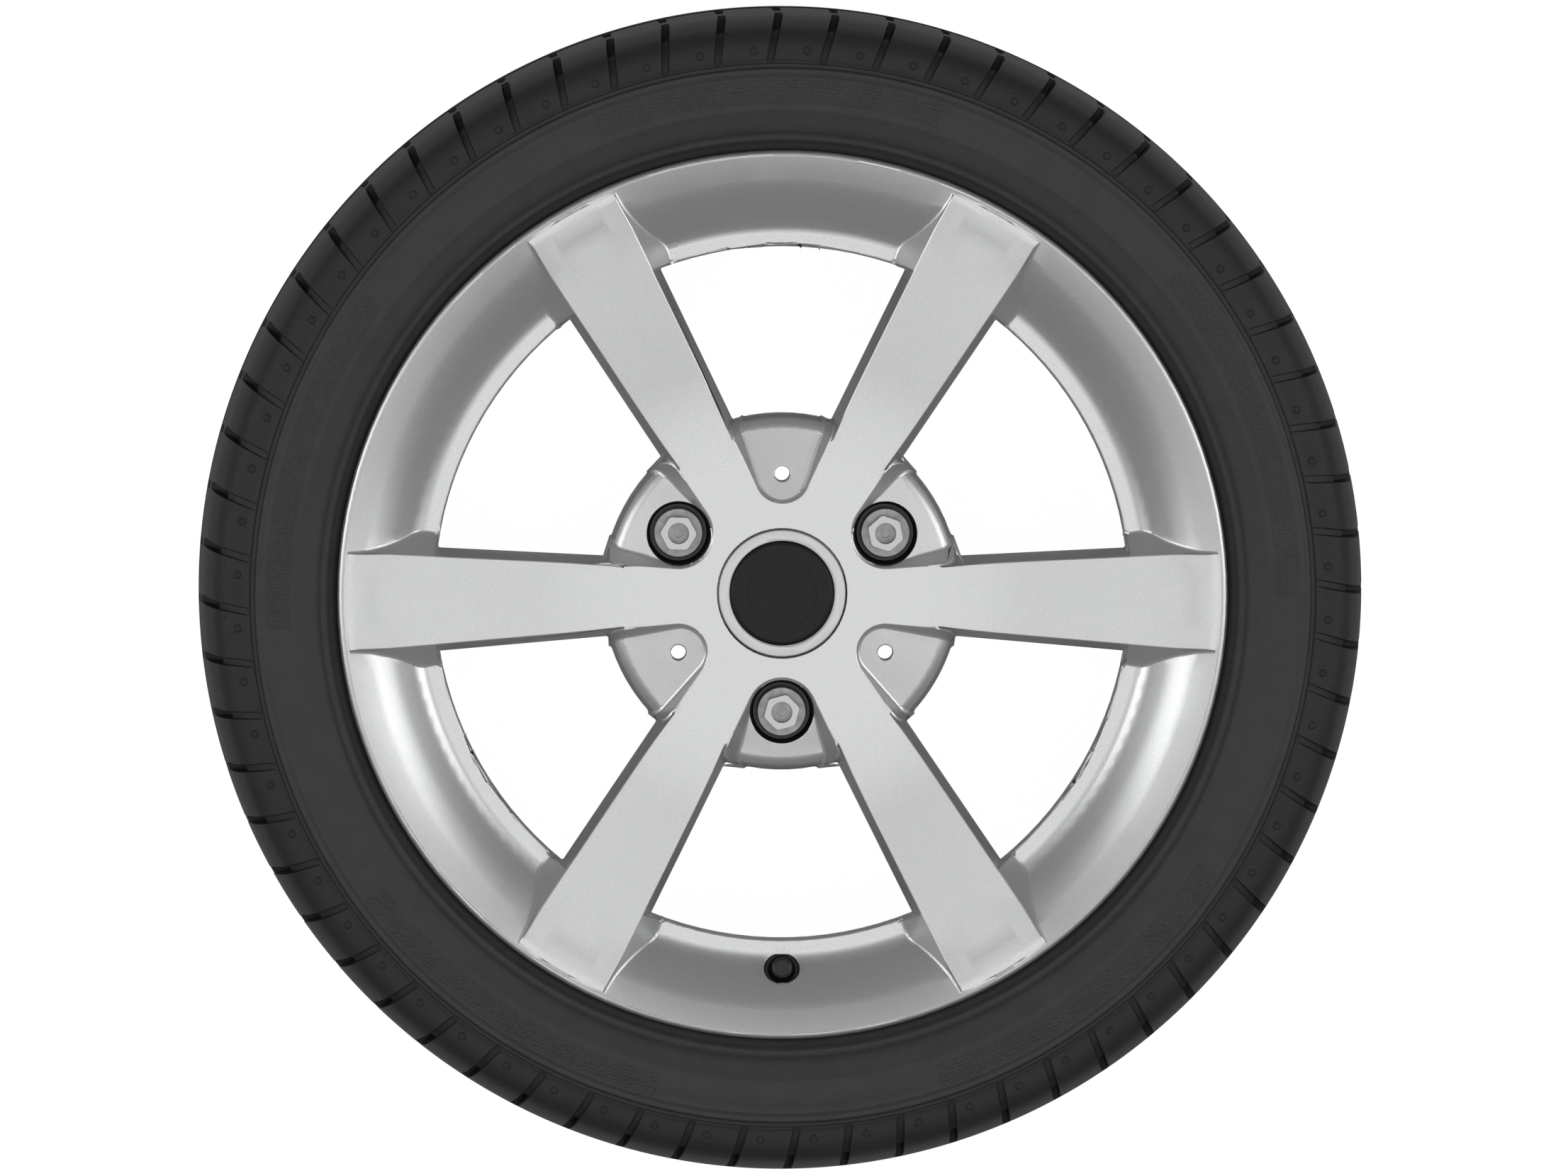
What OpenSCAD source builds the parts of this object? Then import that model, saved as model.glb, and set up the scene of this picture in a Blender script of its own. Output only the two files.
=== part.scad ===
// A road wheel: a one-piece cast alloy wheel with six flat spokes, its tyre, three bolts,
// a clip-in centre cap and a snap-in rubber valve with its core and dust cap.
// It lies on its inner side. The origin is the middle of the hub face, +Z points out of the
// styled side, and the valve is at -Y.

/* [Rim] */
// Diameter over the bead seats
rim_d = 380.2; // [370:0.1:392]
// Width between the two flanges
rim_w = 114.3; // [108:0.1:140]
// Distance from the rim's middle plane out to the hub face
rim_offset = 23.5; // [18:0.5:30]
// Height of the flanges above the bead seats
flange_h = 17.5; // [16:0.1:18.5]
// Width of each flange
flange_w = 10.5; // [10.4:0.1:12.5]
// Depth of the well below the bead seats
well_depth = 17.5; // [15:0.1:19]
// Width of the flat bottom of the well
well_w = 24; // [16:0.5:30]
// Wall of the barrel
barrel_wall = 4.5; // [3.5:0.1:6]

/* [Face] */
// Radius of the six windows' outer edge
window_r = 162.5; // [158:0.5:165]
// Depth of the ledge round the windows, below the lip
dish_depth = 19.2; // [15:0.1:22]
// Radius of the edge between the dish and the lip's sloping band
crest_r = 194.5; // [192:0.5:196]
// Thickness of the disc at the wheel's axis
hub_t = 23.65; // [22:0.05:25]
// Slope of the spokes' front faces
spoke_slope = 9.5; // [8.5:0.1:10]
// Radius of the hub disc
hub_r = 84; // [80:0.5:88]
// Thickness of the spokes at mid length
spoke_t = 19; // [15:0.5:22]
// Thickness of the spokes' front plate over their hollow backs
plate_t = 8; // [6:0.5:10]
// Draft of the spokes' side walls in the windows
window_draft = 20; // [10:1:24]
// Draft of the spokes' side walls where they cross the dish
dish_draft = 39; // [30:1:45]

/* [Bolts] */
// Diameter of the circle that the bolts and the small holes lie on
pitch_circle_d = 112; // [110:0.5:114]
// Thickness of the disc under each bolt's seat
seat_t = 11; // [9:0.5:13]
// Bolt thread diameter
bolt_d = 12; // [11:0.1:12.4]
// Radius of the bolt hole
bolt_hole_r = 6.75; // [6.5:0.05:7]
// Size of the bolts' hexagon across its flats
hex_af = 15; // [14:0.5:17]
// Length of thread that stands out of the hub face
bolt_reach = 22; // [16:1:28]
// Radius of the small holes between the bolts
small_hole_r = 3.55; // [2.5:0.05:4.5]

/* [Centre] */
// Radius of the hub bore
bore_r = 28.55; // [27:0.05:30]
// Radius of the recess that takes the centre cap
recess_r = 30.5; // [30.4:0.1:32]
// Radius of the badge disc
badge_r = 25; // [22:0.1:25.4]

/* [Tyre] */
// Outside diameter of the tyre
tyre_d = 549.2; // [540:0.2:560]
// Section width of the tyre
tyre_w = 154; // [150:0.5:160]
// Radius of the tread's crown
crown_r = 326; // [260:1:420]
// Depth of the tread grooves
tread_depth = 7; // [3:0.5:8]
// Number of tread blocks round each shoulder
shoulder_blocks = 64; // [48:1:72]
// Width of the cuts between the shoulder blocks
shoulder_cut_w = 4.6; // [2:0.1:6]

/* [Valve] */
// Radius at which the valve's axis leaves the dish
valve_r = 176; // [174.5:0.1:177]
// Lean of the valve towards the wheel's axis
valve_lean = 12; // [9:0.5:14]
// Height of the valve above its seat
valve_l = 22; // [21:0.5:26]

/* [Hidden] */
$fn = 96;

// Clearances
fit = 0.25;
slip = 0.1;
overrun = 1;
hair = 0.02;

// Rim section: the J flanges, tapered bead seats, well and barrel
seat_r = rim_d / 2;
seat_w = 20;
seat_taper = 5;
seat_end_r = seat_r - seat_w * tan(seat_taper);
lip_r = seat_r + flange_h;
flange_round = 8;
lip_round = 2.3;
heel_round = 6.5;
heel_r = seat_r + heel_round * (1 / cos(seat_taper) - tan(seat_taper));
heel_down = heel_round * (1 - sin(seat_taper));
heel_seat_r = seat_r - heel_down * tan(seat_taper);
z_mid = -rim_offset;
z_out = z_mid + rim_w / 2;
z_in = z_mid - rim_w / 2;
z_lip = z_out + flange_w;
z_back = z_in - flange_w;
well_r = seat_r - well_depth;
well_slope = 11.7;
well_top_z = z_out - seat_w - well_slope;
well_low_z = well_top_z - well_w;
rise_w = 24;
barrel_r = well_r - barrel_wall;

// Dish: a ledge round the windows, a hollow, then a round shoulder up to the lip's band
ledge_z = z_lip - dish_depth;
ledge_w = 4.8;
ledge_t = 11;
ledge_round = 1.6;
dish_r = window_r + ledge_w;
hollow_r = 12.5;
dish_turn = 45;
crest_turn = 24;
bend_r = dish_r + hollow_r * sin(dish_turn);
bend_z = ledge_z + hollow_r * (1 - cos(dish_turn));
shoulder_r = (crest_r - bend_r) / (sin(dish_turn) - sin(crest_turn));
crest_z = bend_z + shoulder_r * (cos(crest_turn) - cos(dish_turn));
shoulder_at_r = bend_r + shoulder_r * sin(dish_turn);
shoulder_at_z = bend_z - shoulder_r * cos(dish_turn);
band_r = lip_r - 3;
lip_line_w = 0.5;
lip_line_d = 0.4;

// Front face: flat round the cap, then a long hollow bend into the straight spokes, which
// steepen a little before they level out under the lip
bend_from_r = 55;
bend_face_r = 350;
bend_steps = 5;
bend_to_r = bend_from_r + bend_face_r * sin(spoke_slope);
straight_to_r = 185;
lift_r = 199.4;
lip_foot_r = 203.2;
lift_slope = 13;
level_slope = 4;
function face_z(r) = r < bend_from_r ? hub_t
    : r < bend_to_r ? hub_t + bend_face_r - sqrt(pow(bend_face_r, 2) - pow(r - bend_from_r, 2))
    : r < straight_to_r ? face_z(bend_to_r - 0.001) + (r - bend_to_r) * tan(spoke_slope)
    : r < lift_r ? face_z(straight_to_r - 0.001) + (r - straight_to_r) * tan(lift_slope)
    : face_z(lift_r - 0.001) + (r - lift_r) * tan(level_slope);

// Windows: each kind has the radius of its round hub end and half the angle of its sides
pitch_r = pitch_circle_d / 2;
hole_end_r = 13.5;
bolt_end_r = 16.4;
hole_half = 25.66;
bolt_half = 26.61;
hole_pad_slope = 0.62;
bolt_pad_slope = 0.95;
hole_angles = [90, 210, 330];
bolt_angles = [30, 150, 270];
edge_from_r = 96;
edge_to_r = 180;
part_line_d = 10;
back_draft = 4;
function apex_x(end_r, half) = pitch_r - end_r / sin(half);
function edge_s(x, half, r) = sqrt(r * r - pow(x * sin(half), 2)) - x * cos(half);

// Hub pads: they fall away from the face towards the hub disc's round edge
pad_from_r = 42;
pad_drop = 0.6;
pad_fall = 0.16;
pad_round = 8;
hub_skirt_z = 2;
hub_face_r = 74;
dome_round = 9;
function pad_z(r) = face_z(pad_from_r) - pad_drop - (r - pad_from_r) * pad_fall;
pad_edge_r = hub_r - pad_round;

// Bolt pockets and cone seats
pocket_top_r = 15.4;
pocket_low_r = 13.6;
seat_cone_r = 9.8;
cone_half = 30;
collar_r = 11.75;
collar_gap = 0.6;
collar_t = 5.2;
hex_h = 5.4;

// Lightening pockets behind the small holes
back_pocket_roof = 10;
back_pocket_r = 11;

// Centre cap seat
recess_floor_z = 11.5;
clip_lip_t = 2.5;
clip_lip_r = bore_r - 0.95;
clip_groove_d = 0.8;
bore_l = 5.5;
cap_r = recess_r - 0.7;
cap_t = 3;
cap_top_z = face_z(recess_r) - 0.2;
badge_seat_d = 1.8;
badge_t = 1.4;
clip_r = clip_lip_r - 0.3;
clip_t = 1.8;
clip_arc = 24;
clips = 6;
ring_wire_r = 0.8;

// Tyre section, measured from the rim's middle plane
tyre_r = tyre_d / 2;
half_w = tyre_w / 2;
crown_half = 52;
shoulder_round = 50;
shoulder_turn = 33;
crown_edge_turn = asin(crown_half / crown_r);
crown_edge_r = tyre_r - crown_r * (1 - cos(crown_edge_turn));
round_z = crown_half - shoulder_round * sin(crown_edge_turn);
round_r = crown_edge_r - shoulder_round * cos(crown_edge_turn);
corner_z = round_z + shoulder_round * sin(shoulder_turn);
corner_r = round_r + shoulder_round * cos(shoulder_turn);
bead_w = 17;
carcass_t = 8;
rib_r = 244;
wing_r = 248.5;
belly_r = 232;
groove_w = 8;
groove_at = 21;
bead_face = rim_w / 2 - fit;

// Valve, along its own axis from its seat on the rim
valve_hole_r = 5.75;
valve_wall = 3.8;
pocket_depth = 17.4;
pocket_half = 1.5;
valve_pocket_r = 6.75;
dish_at_valve = dish_z(valve_r);
bulb_r = 8.6;
bulb_h = 8;
stem_r = 2.9;
stem_thread_r = 3.85;
stem_bore_r = 2.5;
stem_low_bore_r = 1.6;
stem_thread_l = 7;
core_top = valve_l - 0.6;
core_low = valve_l - 11;
core_floor = 0.6;
spring_room = 5.4;
spring_wire = 0.22;
spring_r = 1.1;
spring_turns = 6;
pin_r = 0.45;
cup_h = 1.6;
cap_out_r = 4.75;
cap_over = 2.6;
cap_seal_t = 1;
function dish_z(r) = r > bend_r
    ? shoulder_at_z + sqrt(pow(shoulder_r, 2) - pow(shoulder_at_r - r, 2))
    : ledge_z + hollow_r - sqrt(pow(hollow_r, 2) - pow(r - dish_r, 2));

alloy = [0.76, 0.77, 0.78];
black = [0.08, 0.08, 0.085];
steel = [0.6, 0.61, 0.62];
brass = [0.78, 0.62, 0.32];

// Takes a round of radius r off a square corner at p; sx and sy point into the material
module round_off(p, r, sx, sy) {
    translate(p)
        difference() {
            translate([sx > 0 ? -overrun : -r, sy > 0 ? -overrun : -r])
                square(r + overrun);
            translate([sx * (r - hair), sy * (r - hair)])
                circle(r);
        }
}

// Section of the barrel with both flanges, the ledge and the dish
module rim_section() {
    difference() {
        polygon([
            [lip_r, z_lip],
            [lip_r, z_out],
            [heel_r, z_out],
            [heel_seat_r, z_out - heel_down],
            [seat_end_r, z_out - seat_w],
            [well_r, well_top_z],
            [well_r, well_low_z],
            [seat_end_r, well_low_z - rise_w],
            [seat_end_r, z_in + seat_w],
            [heel_seat_r, z_in + heel_down],
            [heel_r, z_in],
            [lip_r, z_in],
            [lip_r, z_back],
            [seat_r - barrel_wall + 2, z_back],
            [seat_r - barrel_wall, z_back + 2],
            [seat_end_r - barrel_wall, z_in + seat_w],
            [seat_end_r - barrel_wall, well_low_z - rise_w],
            [barrel_r, well_low_z],
            [barrel_r, ledge_z - ledge_t],
            [window_r, ledge_z - ledge_t + 2],
            [window_r, ledge_z],
            [dish_r, ledge_z],
            [dish_r, crest_z],
            [crest_r, crest_z],
            [band_r, z_lip]
        ]);
        // hollow at the foot of the dish, and its round shoulder
        translate([dish_r, ledge_z + hollow_r - hair]) circle(hollow_r, $fn = 180);
        difference() {
            translate([dish_r - overrun, bend_z])
                square([crest_r - dish_r + overrun, z_lip - bend_z + overrun]);
            translate([shoulder_at_r, shoulder_at_z + hair]) circle(shoulder_r, $fn = 360);
        }
        // fine line turned round the lip
        translate([band_r, z_lip - lip_line_d]) square([lip_line_w, 2]);
        // fillets in the heels of the bead seats
        translate([heel_r + hair, z_out - heel_round - hair]) circle(heel_round);
        translate([heel_r + hair, z_in + heel_round + hair]) circle(heel_round);
        round_off([lip_r, z_lip], lip_round, -1, -1);
        round_off([lip_r, z_out], flange_round, -1, 1);
        round_off([lip_r, z_in], flange_round, -1, -1);
        round_off([lip_r, z_back], lip_round, -1, 1);
        round_off([window_r, ledge_z], ledge_round, 1, -1);
    }
}

// Section of the space over the front face
module above_face() {
    top_z = z_lip + 9;
    bend = [for (i = [0:bend_steps])
        let (r = bend_from_r + (bend_to_r - bend_from_r) * i / bend_steps) [r, face_z(r)]];
    polygon(concat([[0, top_z], [0, hub_t]], bend, [
        [straight_to_r, face_z(straight_to_r)],
        [lift_r, face_z(lift_r)],
        [lip_foot_r + 3, face_z(lip_foot_r + 3)],
        [lip_foot_r + 3, top_z]
    ]));
}

// Section of the hub disc, from its mounting face up to the front face. Its inner side has the
// bore, a groove for the clips under the lip that they hook behind, and the cap's recess.
module hub_section() {
    difference() {
        polygon([
            [recess_r, hub_t + 4],
            [recess_r, recess_floor_z],
            [clip_lip_r, recess_floor_z],
            [clip_lip_r, recess_floor_z - clip_lip_t],
            [bore_r + clip_groove_d, recess_floor_z - clip_lip_t],
            [bore_r + clip_groove_d, bore_l],
            [bore_r, bore_l],
            [bore_r, 0],
            [hub_face_r, 0],
            [hub_face_r + 2, hub_skirt_z],
            [hub_r, hub_skirt_z],
            [hub_r, hub_t + 4]
        ]);
        above_face();
        round_off([hub_r, face_z(hub_r - dome_round)], dome_round, -1, -1);
        translate([hub_r - dome_round, face_z(hub_r - dome_round)])
            square([dome_round + overrun, 8]);
    }
}

// Section of the space over the hub's sloping pads and their round edge
module pad_section() {
    difference() {
        polygon([
            [pad_from_r - 5, pad_z(pad_from_r - 5)],
            [pad_edge_r, pad_z(pad_edge_r)],
            [pad_edge_r, pad_z(pad_edge_r) - pad_round],
            [hub_r + 5, pad_z(pad_edge_r) - pad_round],
            [hub_r + 5, hub_t + 8],
            [pad_from_r - 5, hub_t + 8]
        ]);
        translate([pad_edge_r, pad_z(pad_edge_r) - pad_round]) circle(pad_round);
    }
}

// Section of the spokes: straight on top and arched underneath
module spoke_section() {
    from_r = hub_r - dome_round - 1;
    to_r = barrel_r + 2;
    root_z = hub_skirt_z + 1;
    mid_r = (hub_r + window_r) / 2;
    arch_z = face_z(mid_r) - spoke_t;
    arch_half = (window_r - hub_r) / 2;
    arch_r = (pow(arch_half, 2) + pow(arch_z - root_z, 2)) / (2 * (arch_z - root_z));
    difference() {
        polygon([
            [from_r, root_z],
            [to_r, root_z],
            [to_r, z_lip],
            [from_r, z_lip]
        ]);
        translate([mid_r, arch_z - arch_r]) circle(arch_r, $fn = 360);
        above_face();
    }
}

// Section of the spokes' outer ends, which rise out of the dish to the lip
module spoke_end_section() {
    difference() {
        polygon([
            [window_r + 0.6, ledge_z - 2],
            [dish_r + 8, ledge_z - 2],
            [crest_r, crest_z - 4],
            [lip_foot_r, z_lip - 3],
            [lip_foot_r, z_lip + 5],
            [window_r + 0.6, z_lip + 5]
        ]);
        above_face();
    }
}

// Half-space on the window's side of one spoke wall, through a line that lies deep below the
// edge of the front face and drops outwards by the front draft down to there
module wall_side(end_r, half, draft, deep, front_draft) {
    x = apex_x(end_r, half);
    s_from = edge_s(x, half, edge_from_r);
    s_to = edge_s(x, half, edge_to_r);
    climb = (face_z(edge_to_r) - face_z(edge_from_r)) / (s_to - s_from);
    translate([x, 0, face_z(edge_from_r) - climb * s_from])
        rotate([0, 0, half])
            rotate([0, -atan(climb), 0])
                translate([0, -deep * tan(front_draft), -deep])
                    rotate([-draft, 0, 0])
                        translate([-40, -220, -90]) cube([320, 220, 180]);
}

// Space between two neighbouring spokes, with the windows' middle line along +X
module between_spokes(end_r, half, draft, deep = 0, front_draft = 0) {
    intersection() {
        wall_side(end_r, half, draft, deep, front_draft);
        mirror([0, 1, 0]) wall_side(end_r, half, draft, deep, front_draft);
    }
}

// The six spaces between the spokes
module all_between(draft, deep = 0, front_draft = 0) {
    for (a = hole_angles)
        rotate([0, 0, a]) between_spokes(hole_end_r, hole_half, draft, deep, front_draft);
    for (a = bolt_angles)
        rotate([0, 0, a]) between_spokes(bolt_end_r, bolt_half, draft, deep, front_draft);
}

// Round-ended space over one hub pad, with sloping walls
module pad_space(end_r, half, slope) {
    far_x = 95;
    low_z = 8;
    top_z = hub_t + 7;
    near_top = end_r + (top_z - face_z(pad_from_r)) * slope;
    near_low = end_r + (low_z - face_z(pad_from_r)) * slope;
    far_ref = end_r + (far_x - pitch_r) * sin(half);
    far_top = far_ref + (top_z - face_z(hub_r)) * slope;
    far_low = far_ref + (low_z - face_z(hub_r)) * slope;
    intersection() {
        rotate_extrude($fn = 120) pad_section();
        hull() {
            translate([pitch_r, 0, low_z])
                cylinder(h = top_z - low_z, r1 = near_low, r2 = near_top, $fn = 64);
            translate([far_x, 0, low_z])
                cylinder(h = top_z - low_z, r1 = far_low, r2 = far_top, $fn = 64);
        }
    }
}

// Pocket, cone seat and hole for one bolt, along +Z from the hub face
module bolt_space() {
    translate([0, 0, -overrun]) cylinder(h = seat_t + overrun, r = bolt_hole_r);
    cone_h = (seat_cone_r - bolt_hole_r) / tan(cone_half);
    translate([0, 0, seat_t - cone_h]) cylinder(h = cone_h, r1 = bolt_hole_r, r2 = seat_cone_r);
    translate([0, 0, seat_t])
        cylinder(h = pad_z(pitch_r) + 2.5 - seat_t, r1 = pocket_low_r, r2 = pocket_top_r);
}

// Hollow in the back of one spoke, along +X. Its roof follows the front face.
module spoke_hollow() {
    near_x = hub_r + 14;
    far_x = window_r - 9;
    near_half = 7.5;
    far_half = 12.5;
    intersection() {
        rotate_extrude()
            polygon([
                [near_x - 12, -20],
                [far_x + 12, -20],
                [far_x + 12, face_z(far_x + 12) - plate_t],
                [bend_to_r, face_z(bend_to_r) - plate_t],
                [near_x - 12, face_z(near_x - 12) - plate_t]
            ]);
        union() {
            translate([0, 0, -20]) linear_extrude(z_lip + 10)
                polygon([[near_x, -near_half], [far_x, -far_half], [far_x, far_half], [near_x, near_half]]);
            translate([near_x, 0, -20]) cylinder(h = z_lip + 10, r = near_half * 0.98);
        }
    }
}

// Places its children on the valve's axis, with z = 0 on the valve's seat
module at_valve() {
    translate([0, -valve_r, dish_at_valve])
        rotate([-valve_lean, 0, 0])
            translate([0, 0, -pocket_depth])
                children();
}

// Oval of two equal circles side by side along X
module oval(r, half) {
    translate([-half, 0]) circle(r);
    translate([half, 0]) circle(r);
    translate([-half, -r]) square([2 * half, 2 * r]);
}

// Valve hole, its milled oval pocket in the dish and the spot face on the tyre's side
module valve_space() {
    at_valve() {
        linear_extrude(pocket_depth + 14) oval(valve_pocket_r, pocket_half);
        translate([0, 0, -valve_wall - 2]) cylinder(h = valve_wall + 4, r = valve_hole_r);
        translate([0, 0, -valve_wall - 14]) cylinder(h = 14, r = bulb_r + 1.2);
    }
}

module wheel_casting() {
    color(alloy)
        difference() {
            union() {
                rotate_extrude($fn = 180) rim_section();
                difference() {
                    rotate_extrude($fn = 120) hub_section();
                    for (a = hole_angles)
                        rotate([0, 0, a]) pad_space(hole_end_r, hole_half, hole_pad_slope);
                    for (a = bolt_angles)
                        rotate([0, 0, a]) pad_space(bolt_end_r, bolt_half, bolt_pad_slope);
                }
                difference() {
                    rotate_extrude($fn = 180) spoke_section();
                    all_between(window_draft);
                    all_between(-back_draft, part_line_d, window_draft);
                }
                difference() {
                    rotate_extrude($fn = 180) spoke_end_section();
                    all_between(dish_draft);
                }
            }
            for (a = bolt_angles)
                rotate([0, 0, a]) translate([pitch_r, 0, 0]) bolt_space();
            for (a = hole_angles)
                rotate([0, 0, a]) translate([pitch_r, 0, 0]) {
                    translate([0, 0, -overrun]) cylinder(h = hub_t + 5, r = small_hole_r);
                    translate([0, 0, -overrun])
                        cylinder(h = back_pocket_roof + overrun, r = back_pocket_r);
                }
            for (i = [0:5]) rotate([0, 0, i * 60]) spoke_hollow();
            valve_space();
        }
}

// Half section of the tyre from the middle plane outwards, as [radius, distance from the middle]
module tyre_half_section() {
    // the bead's side lies along the flange's round, and its heel in the rim's fillet
    flange_line = [for (a = [342:-9:270])
        [lip_r - flange_round + (flange_round + fit) * cos(a),
            rim_w / 2 + flange_round + (flange_round + fit) * sin(a)]];
    heel_line = [for (a = [92:16:172])
        [heel_r + (heel_round - fit) * cos(a), rim_w / 2 - heel_round + (heel_round - fit) * sin(a)]];
    seat_toe_r = seat_r - (rim_w / 2 - bead_face + bead_w - 1) * tan(seat_taper);
    difference() {
        union() {
            // tread and upper wall
            intersection() {
                translate([tyre_r - crown_r, 0]) circle(crown_r, $fn = 720);
                polygon([
                    [tyre_r - 17, 0],
                    [tyre_r + 1, 0],
                    [tyre_r + 1, crown_half],
                    [crown_edge_r - 17, crown_half]
                ]);
            }
            intersection() {
                translate([round_r, round_z]) circle(shoulder_round, $fn = 360);
                polygon([
                    [crown_edge_r - 17, crown_half - 6],
                    [crown_edge_r - 1.5, crown_half - 6],
                    [crown_edge_r + 2, crown_half],
                    [corner_r + 6, corner_z],
                    [corner_r - 2, corner_z],
                    [corner_r - 12, corner_z - 10]
                ]);
            }
            // wing under the shoulder blocks, side wall, bead band and bead
            polygon(concat([
                [crown_edge_r - 16, crown_half - 8],
                [corner_r - 3, corner_z - 4],
                [corner_r, corner_z],
                [corner_r - 5, corner_z + 2.6],
                [wing_r, half_w - 3],
                [wing_r - 0.9, half_w - 3.6],
                [rib_r + 2, half_w - 3.4],
                [rib_r + 1, half_w - 1.7],
                [rib_r - 1, half_w - 1.2],
                [rib_r - 2, half_w - 1.6],
                [belly_r + 5, half_w - 0.3],
                [belly_r, half_w],
                [belly_r - 6, half_w - 0.4],
                [belly_r - 12, half_w - 2.4],
                [lip_r + 8.4, half_w - 5.6],
                [lip_r + 7.6, half_w - 6.6],
                [lip_r + 5.2, half_w - 7.4],
                [lip_r + 3.2, half_w - 11.6]
            ], flange_line, heel_line, [
                [seat_toe_r + fit, bead_face - bead_w + 1],
                [seat_r + 8, bead_face - bead_w],
                [seat_r + 19, bead_face - 3],
                [belly_r - 10, half_w - carcass_t - 1.4],
                [belly_r, half_w - carcass_t + 1],
                [belly_r + 12, half_w - carcass_t - 1.2],
                [crown_edge_r - 17, crown_half - 2]
            ]));
        }
        // grooves round the tread
        translate([tyre_r - tread_depth - 0.6, groove_at - groove_w / 2])
            square([tread_depth + 3, groove_w]);
    }
}

// Cut between two shoulder blocks: deep in the tread and shallow down the wing
module shoulder_cut() {
    rotate([90, 0, 0])
        translate([0, 0, -shoulder_cut_w / 2])
            linear_extrude(shoulder_cut_w)
                polygon([
                    [tyre_r + 4, groove_at + groove_w / 2 - overrun],
                    [tyre_r - tread_depth - 0.2, groove_at + groove_w / 2 - overrun],
                    [crown_edge_r - tread_depth + 0.6, crown_half],
                    [corner_r - 3.8, corner_z - 2.2],
                    [corner_r - 6.2, corner_z + 1.8],
                    [wing_r + 0.6, half_w - 4],
                    [wing_r + 0.6, half_w + 4],
                    [tyre_r + 4, half_w + 4]
                ]);
}

module tyre() {
    color([0.13, 0.13, 0.135])
        translate([0, 0, z_mid])
            difference() {
                rotate_extrude($fn = 180)
                    union() {
                        tyre_half_section();
                        mirror([0, 1]) tyre_half_section();
                    }
                for (i = [0:shoulder_blocks - 1]) {
                    // the blocks' lengths vary round the tyre, so that it runs quietly
                    a = 360 * i / shoulder_blocks + 1.1 * sin(360 * 5 * i / shoulder_blocks);
                    rotate([0, 0, a]) shoulder_cut();
                    rotate([0, 0, a + 180 / shoulder_blocks]) mirror([0, 0, 1]) shoulder_cut();
                }
            }
}

// One bolt on its seat, along +Z: thread, plain neck, cone, collar and hexagon head
module wheel_bolt() {
    shank_r = bolt_d / 2;
    neck_r = shank_r - 0.6;
    cone_top = seat_cone_r - 0.2;
    cone_h = (cone_top - neck_r) / tan(cone_half);
    collar_z = seat_t + collar_gap;
    hex_r = hex_af / 2 / cos(30);
    top_z = collar_z + collar_t + hex_h;
    color(steel)
        difference() {
            union() {
                translate([0, 0, -bolt_reach + 1]) cylinder(h = bolt_reach - 2, r = shank_r);
                translate([0, 0, -2]) cylinder(h = seat_t + 3, r = neck_r);
                translate([0, 0, -bolt_reach]) cylinder(h = 1, r1 = shank_r - 1, r2 = shank_r);
                translate([0, 0, seat_t - cone_h + 0.1]) cylinder(h = cone_h, r1 = neck_r, r2 = cone_top);
                translate([0, 0, seat_t]) cylinder(h = collar_gap + 1, r = cone_top);
                translate([0, 0, collar_z]) cylinder(h = collar_t - 0.6, r = collar_r);
                translate([0, 0, collar_z + collar_t - 0.6])
                    cylinder(h = 0.6, r1 = collar_r, r2 = collar_r - 0.6);
                intersection() {
                    translate([0, 0, collar_z + 1]) cylinder(h = collar_t + hex_h - 1, r = hex_r, $fn = 6);
                    translate([0, 0, collar_z + 1])
                        cylinder(h = collar_t + hex_h - 1, r1 = hex_r + 6, r2 = hex_r - 0.35);
                }
            }
            // turned recess in the head, with a shallow step in its floor
            translate([0, 0, top_z - 5]) cylinder(h = 6, r = 4.95);
            translate([0, 0, top_z - 6]) cylinder(h = 3, r = 2.3);
        }
}

module bolt_at(i) {
    rotate([0, 0, bolt_angles[i]]) translate([pitch_r, 0, 0]) rotate([0, 0, 11 + 17 * i]) wheel_bolt();
}
module wheel_bolt_1() { bolt_at(0); }
module wheel_bolt_2() { bolt_at(1); }
module wheel_bolt_3() { bolt_at(2); }

// Arc of a ring: radii a and b, height h, spread over an angle
module ring_arc(a, b, h, arc) {
    rotate([0, 0, -arc / 2]) rotate_extrude(angle = arc) translate([a, 0]) square([b - a, h]);
}

module centre_cap() {
    hook_z = recess_floor_z - clip_lip_t - 0.2;
    under_z = cap_top_z - cap_t;
    color([0.8, 0.81, 0.82]) {
        difference() {
            union() {
                translate([0, 0, under_z]) cylinder(h = cap_t - 0.5, r = cap_r);
                translate([0, 0, cap_top_z - 0.5]) cylinder(h = 0.5, r1 = cap_r, r2 = cap_r - 0.5);
                // skirt that steadies the cap in its recess
                difference() {
                    translate([0, 0, recess_floor_z + fit])
                        cylinder(h = under_z - recess_floor_z, r = cap_r - 0.2);
                    translate([0, 0, recess_floor_z - 1]) cylinder(h = under_z, r = cap_r - 1.8);
                }
                for (i = [0:clips - 1])
                    rotate([0, 0, i * 360 / clips + 15]) {
                        translate([0, 0, hook_z - 2])
                            ring_arc(clip_r - clip_t, clip_r, under_z - hook_z + 2.6, clip_arc);
                        // barb under the wheel's clip lip
                        translate([0, 0, hook_z - 1.6])
                            ring_arc(clip_r - 0.5, bore_r, 1.6, clip_arc - 4);
                        // seat for the spring ring
                        translate([0, 0, hook_z + 1.2])
                            ring_arc(clip_r - clip_t - 1, clip_r - clip_t + 0.5, 0.9, clip_arc - 8);
                        // short rib that braces the clip
                        translate([clip_r - clip_t - 3, -0.7, under_z - 2.5]) cube([3.5, 1.4, 3]);
                    }
            }
            translate([0, 0, cap_top_z - badge_seat_d]) cylinder(h = badge_seat_d + 1, r = badge_r + slip);
        }
    }
}

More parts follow.
